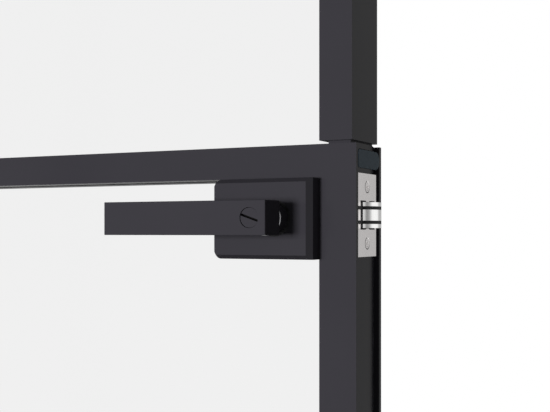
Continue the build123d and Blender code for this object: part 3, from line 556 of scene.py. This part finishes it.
# %% brush
BACK, SUNK = 0.0045, 0.0005
ROWS, HAIRS = 4, 420
END_INSET, SIDE_INSET = 0.0010, 0.0018
TIP_HALF, ROOT_HALF = 0.00018, 0.00042
UNEVEN, FINE_SHARE, SIDEWAYS_SHARE = 0.0004, 0.75, 0.6
LEAN_X, LEAN_Y, LEAN_FINE = 2100.0, 900.0, 5300.0
SHORT_X, SHORT_Y = 3700.0, 400.0
SQUARE = np.array([[1.0, 1.0], [-1.0, 1.0], [-1.0, -1.0], [1.0, -1.0]])


def prism(centres, halves):
    """Rings of square outlines: each centre gets a rectangle of those half widths in x and y."""
    flat = SQUARE * np.asarray(halves)[..., None, :]
    rise = np.zeros((*flat.shape[:-1], 1))
    return np.asarray(centres)[..., None, :] + np.concatenate([flat, rise], axis=-1)


low, high = (np.array(corner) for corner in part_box("bottom_brush"))
middle = (low + high) / 2
ends = np.array([[middle[0], middle[1], high[2] - BACK], [middle[0], middle[1], high[2]]])
halves = np.tile((high[:2] - low[:2]) / 2, (2, 1))
back = skin("brush_back", prism(ends, halves)[None], black_nylon)

x = np.linspace(low[0] + END_INSET, high[0] - END_INSET, HAIRS)
y = np.linspace(low[1] + SIDE_INSET, high[1] - SIDE_INSET, ROWS)
x, y = (grid.ravel() for grid in np.meshgrid(x, y))
lean = UNEVEN * np.sin(LEAN_X * x + LEAN_Y * y) + FINE_SHARE * UNEVEN * np.sin(LEAN_FINE * x)
short = UNEVEN * (1.0 + np.sin(SHORT_X * x + SHORT_Y * y))
root = np.stack([x, y, np.full(x.size, high[2] - BACK + SUNK)], axis=-1)
tip = np.stack([x + lean, y + SIDEWAYS_SHARE * lean, low[2] + short], axis=-1)
widths = np.tile([[[TIP_HALF, TIP_HALF], [ROOT_HALF, ROOT_HALF]]], (x.size, 1, 1))
hairs = skin("brush_hairs", prism(np.stack([tip, root], axis=1), widths), pile)
for piece in (back, hairs):
    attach(piece, "leaf")
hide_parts("bottom_brush")
print("hairs:", x.size)

# %% [markdown]
# ## The studio floor
#
# The door stands on a plain floor that keeps its shadow. A plane would do, but a disc shows no corners
# in other views. Scattered light passes the floor by, so that it throws no light up at the door. The
# floor is only a stage and doesn't go with the door.

# %% floor
FLOOR_RADIUS, FLOOR_RINGS, FLOOR_SPOKES = 3.2, 12, 72
FLOOR_MIDDLE = np.array([0.45, -0.4, -0.002])


def floor_disc(radius, rings, spokes):
    """A flat disc: point (i, j) lies at radius r_i and angle a_j, in polar coordinates."""
    radii = np.linspace(0.0, radius, rings)[1:]
    angles = np.linspace(0.0, 2.0 * np.pi, spokes, endpoint=False)
    x = np.outer(radii, np.cos(angles))
    y = np.outer(radii, np.sin(angles))
    grid = np.stack([x, y, np.zeros_like(x)], axis=-1)
    points = np.vstack([[[0.0, 0.0, 0.0]], grid.reshape(-1, 3)])
    here = np.arange(spokes)
    after = (here + 1) % spokes
    fan = np.stack([np.zeros(spokes, int), 1 + here, 1 + after], axis=1)
    inner = 1 + np.arange(rings - 2)[:, None] * spokes
    outer = inner + spokes
    quads = np.stack([inner + here, outer + here, outer + after, inner + after], axis=-1)
    return points, fan.tolist() + quads.reshape(-1, 4).tolist()


points, faces = floor_disc(FLOOR_RADIUS, FLOOR_RINGS, FLOOR_SPOKES)
mesh = bpy.data.meshes.new("floor")
mesh.from_pydata((points + FLOOR_MIDDLE).tolist(), [], faces)
floor = bpy.data.objects.new("floor", mesh)
bpy.context.scene.collection.objects.link(floor)
floor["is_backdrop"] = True
floor.visible_diffuse = False
print("floor faces:", len(faces))

# %% [markdown]
# ## The floor's paint
#
# A studio floor is rolled with matt white paint, a little mottled. One pale colour would do for the
# camera, and a mirror shows the floor as the camera does. In a reflection that has passed a pane or a
# second mirror, and for scattered light that comes through a pane, the floor is dark instead, as the
# lower edges of the lock are in the picture. Light Path counts how often a ray was mirrored, passed
# glass or was scattered. The choice of colour is mirrored times (mirrored plus passed less one), plus
# scattered, kept between zero and one.

# %% floor paint
PALE, PALER = (0.86, 0.86, 0.86), (0.88, 0.88, 0.88)
SECOND_HAND = (0.02, 0.02, 0.02, 1.0)
MOTTLE_SCALE = 6.0
FLOOR_ROUGH = 0.7


def calc(tree, operation, *terms, clamp=False):
    """The result of a Math node, whose terms are sockets or plain numbers."""
    node = add(tree, "ShaderNodeMath", operation=operation, use_clamp=clamp)
    for slot, term in enumerate(terms):
        if isinstance(term, float):
            node.inputs[slot].default_value = term
        else:
            tree.links.new(term, node.inputs[slot])
    return node.outputs[0]


floor_paint, tree, shader = new_finish("floor_paint")
mottle = grain(tree, MOTTLE_SCALE, detail=2.0)
path = add(tree, "ShaderNodeLightPath").outputs
meetings = calc(tree, "ADD", path["Glossy Depth"], path["Transmission Depth"])
further = calc(tree, "SUBTRACT", meetings, 1.0)
late = calc(tree, "MULTIPLY_ADD", path["Glossy Depth"], further, path["Diffuse Depth"], clamp=True)
paint = add(tree, "ShaderNodeMix", data_type="RGBA")
tree.links.new(late, paint.inputs["Factor"])
tree.links.new(tint(tree, mottle.outputs["Fac"], PALE, PALER), paint.inputs["A"])
paint.inputs["B"].default_value = SECOND_HAND
tree.links.new(paint.outputs["Result"], shader.inputs["Base Color"])
shader.inputs["Roughness"].default_value = FLOOR_ROUGH
mesh.materials.append(floor_paint)
print("floor paint:", floor_paint.name)

# %% [markdown]
# ## What surrounds the door
#
# The camera, and whatever is seen through the glass, meets a white backdrop. A mirror sees a studio
# instead: a ring of bright and dark parts by compass direction, which fades above and below. It could
# be a picture of a studio, but a colour ramp over the compass angle needs none, and each stop can be
# set from what the polished and coated parts show. The light that lands on the coat from all round is
# weak, and weaker from behind. Light Path tells the rays apart: a Glossy Depth of one picks the ring
# even where a ray passes a pane on its way. Without it, a Diffuse Depth of one keeps to the weak light,
# also through a pane.

# %% world helpers
def slide(tree, source, start, end, first, last):
    """A value that goes smoothly from first to last while source goes from start to end."""
    node = add(tree, "ShaderNodeMapRange", [("Value", source)], interpolation_type="SMOOTHSTEP")
    node.inputs["From Min"].default_value = start
    node.inputs["From Max"].default_value = end
    node.inputs["To Min"].default_value = first
    node.inputs["To Max"].default_value = last
    return node.outputs["Result"]


def compass_ring(tree, x, y, around):
    """A grey by compass angle: the ray's angle about z, from -180 to 180 degrees, runs along a ramp."""
    angle = calc(tree, "ARCTAN2", y, x)
    share = add(tree, "ShaderNodeMapRange", [("Value", angle)])
    share.inputs["From Min"].default_value = -math.pi
    share.inputs["From Max"].default_value = math.pi
    ring = add(tree, "ShaderNodeValToRGB", [("Fac", share.outputs["Result"])])
    stops = ring.color_ramp.elements
    while len(stops) < len(around):
        stops.new(1.0)
    for stop, (degrees, level) in zip(stops, around):
        stop.position = (degrees + 180.0) / 360.0
        stop.color = (level, level, level, 1.0)
    return ring.outputs["Color"]


def glow(tree, links=(), **settings):
    """The shader of a Background node, white unless a colour is linked."""
    node = add(tree, "ShaderNodeBackground", links, **settings)
    node.inputs["Color"].default_value = (1.0, 1.0, 1.0, 1.0)
    return node.outputs[0]


def either(tree, choice, first, second):
    """The first shader where choice is zero, the second where it is one."""
    node = add(tree, "ShaderNodeMixShader", [("Fac", choice)])
    tree.links.new(first, node.inputs[1])
    tree.links.new(second, node.inputs[2])
    return node.outputs[0]


print("world helpers ready")

# %% world
BACKDROP, AMBIENT, AMBIENT_BEHIND = 1.0, 0.165, 0.055
FRONT, BEHIND = -1.0, 0.3
FADE_START, FADE_END, FADE_LEVEL = 0.26, 0.46, 0.06
AROUND = [
    (-180, 0.60), (-150, 1.00), (-95, 1.00), (-72, 0.60), (-50, 1.00), (-38, 0.68), (-24, 0.24),
    (-8, 0.40), (8, 0.96), (24, 1.00), (46, 0.97), (58, 0.69), (66, 0.58), (71, 0.46), (80, 0.16),
    (90, 0.06), (106, 0.06), (116, 0.34), (132, 0.50), (152, 0.80), (180, 0.60),
]


def studio_world(around):
    """White for the camera and through glass; for mirrors the compass ring; else the weak light."""
    world = bpy.data.worlds.new("studio")
    bpy.context.scene.world = world
    world.use_nodes = True
    tree = world.node_tree
    tree.nodes.clear()
    path = add(tree, "ShaderNodeLightPath").outputs
    clear = calc(tree, "MAXIMUM", path["Is Glossy Ray"], path["Is Transmission Ray"])
    seen = calc(tree, "MAXIMUM", path["Is Camera Ray"], clear)
    direct = calc(tree, "SUBTRACT", seen, path["Diffuse Depth"], clamp=True)
    mirrored = calc(tree, "MINIMUM", path["Glossy Depth"], 1.0)
    way = add(tree, "ShaderNodeTexCoord").outputs["Generated"]
    x, y, z = add(tree, "ShaderNodeSeparateXYZ", [("Vector", way)]).outputs
    weak = slide(tree, y, FRONT, BEHIND, AMBIENT, AMBIENT_BEHIND)
    level = slide(tree, calc(tree, "ABSOLUTE", z), FADE_START, FADE_END, 1.0, FADE_LEVEL)
    ring = glow(tree, [("Color", compass_ring(tree, x, y, around)), ("Strength", level)])
    plain = either(tree, direct, glow(tree, [("Strength", weak)]), glow(tree, Strength=BACKDROP))
    out = add(tree, "ShaderNodeOutputWorld")
    tree.links.new(either(tree, mirrored, plain, ring), out.inputs["Surface"])
    return world


world = studio_world(AROUND)
print("world:", world.name, "with", len(AROUND), "stops")

# %% [markdown]
# ## The panels
#
# One soft panel stands in front, eight degrees to the left at the height of the lever. It gives the
# coat its tone, and the shadows of the lever and the cover in the picture give its angle and size. A
# second panel behind the door serves the other views. Neither shows in mirrors or through glass, where
# the ring stands for them, and both light every piece but the panes. Glowing planes would do as well,
# but an area light has less noise.

# %% panels
LOCK = np.array([0.81, -0.07, 1.0])
FRONT_PLACE, FRONT_SIDE, FRONT_POWER = (0.46, -2.54, 1.0), 0.45, 54.0
BACK_PLACE, BACK_SIDE, BACK_POWER = (0.15, 2.40, 1.2), 1.2, 48.0


def soft_panel(name, place, target, side, power):
    """A square area light at place, facing target."""
    data = bpy.data.lights.new(name, "AREA")
    data.shape = "SQUARE"
    data.size = side
    data.energy = power
    lamp = bpy.data.objects.new(name, data)
    bpy.context.scene.collection.objects.link(lamp)
    away = np.array(place) - np.array(target)
    turn = math.atan2(away[0], -away[1])
    tilt = math.atan2(math.hypot(away[0], away[1]), away[2])
    lamp.location = place
    lamp.rotation_euler = (tilt, 0.0, turn)
    return lamp


lit = bpy.data.collections.new("lit_by_panel")
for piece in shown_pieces():
    if piece not in (nodes["lower_glass"], nodes["upper_glass"]):
        lit.objects.link(piece)
front = soft_panel("front_panel", FRONT_PLACE, LOCK, FRONT_SIDE, FRONT_POWER)
behind = soft_panel("back_panel", BACK_PLACE, LOCK, BACK_SIDE, BACK_POWER)
for panel in (front, behind):
    panel.visible_glossy = False
    panel.visible_transmission = False
    panel.light_linking.receiver_collection = lit
print("panel powers:", front.data.energy, behind.data.energy)

# %% [markdown]
# ## The light on the floor
#
# The panels don't reach the floor, so it has a light of its own from above, as from a ceiling full of
# lamps. A sun with a wide angle gives soft shadows and lights the floor evenly, which a lamp near the
# door would not.

# %% overhead
ABOVE_STRENGTH, ABOVE_WIDTH = 2.6, 36.0
overhead = bpy.data.objects.new("overhead", bpy.data.lights.new("overhead", "SUN"))
overhead.data.energy = ABOVE_STRENGTH
overhead.data.angle = math.radians(ABOVE_WIDTH)
bpy.context.scene.collection.objects.link(overhead)
ground = bpy.data.collections.new("lit_from_above")
ground.objects.link(floor)
overhead.light_linking.receiver_collection = ground
print("light from above:", overhead.data.energy)

# %% [markdown]
# ## The camera
#
# The picture was taken level, from just below the lever, turned 26.8 degrees from square on, with a
# lens of about 64 mm on a 36 mm wide sensor. The horizon lies a little below the middle, so the lens
# is shifted up instead of tilted, which keeps the uprights upright.

# %% camera
FOCAL_PIXELS = 979.0
PICTURE_WIDTH = 550.0
HORIZON_DROP = 26.0
SENSOR_WIDTH = 36.0
CAMERA_PLACE = (1.1090, -0.6805, 0.9907)
HEADING = 26.8
CLIP_START = 0.01
data = bpy.data.cameras.new("camera")
data.sensor_width = SENSOR_WIDTH
data.lens = FOCAL_PIXELS * data.sensor_width / PICTURE_WIDTH
data.shift_y = HORIZON_DROP / PICTURE_WIDTH
data.clip_start = CLIP_START
camera = bpy.data.objects.new("camera", data)
bpy.context.scene.collection.objects.link(camera)
camera.location = CAMERA_PLACE
camera.rotation_euler = (math.radians(90.0), 0.0, math.radians(HEADING))
bpy.context.scene.camera = camera
bpy.context.scene.view_settings.view_transform = "Standard"
print("lens:", round(data.lens, 2), "mm")

# %% [markdown]
# ## The end

# %% end
print("done")
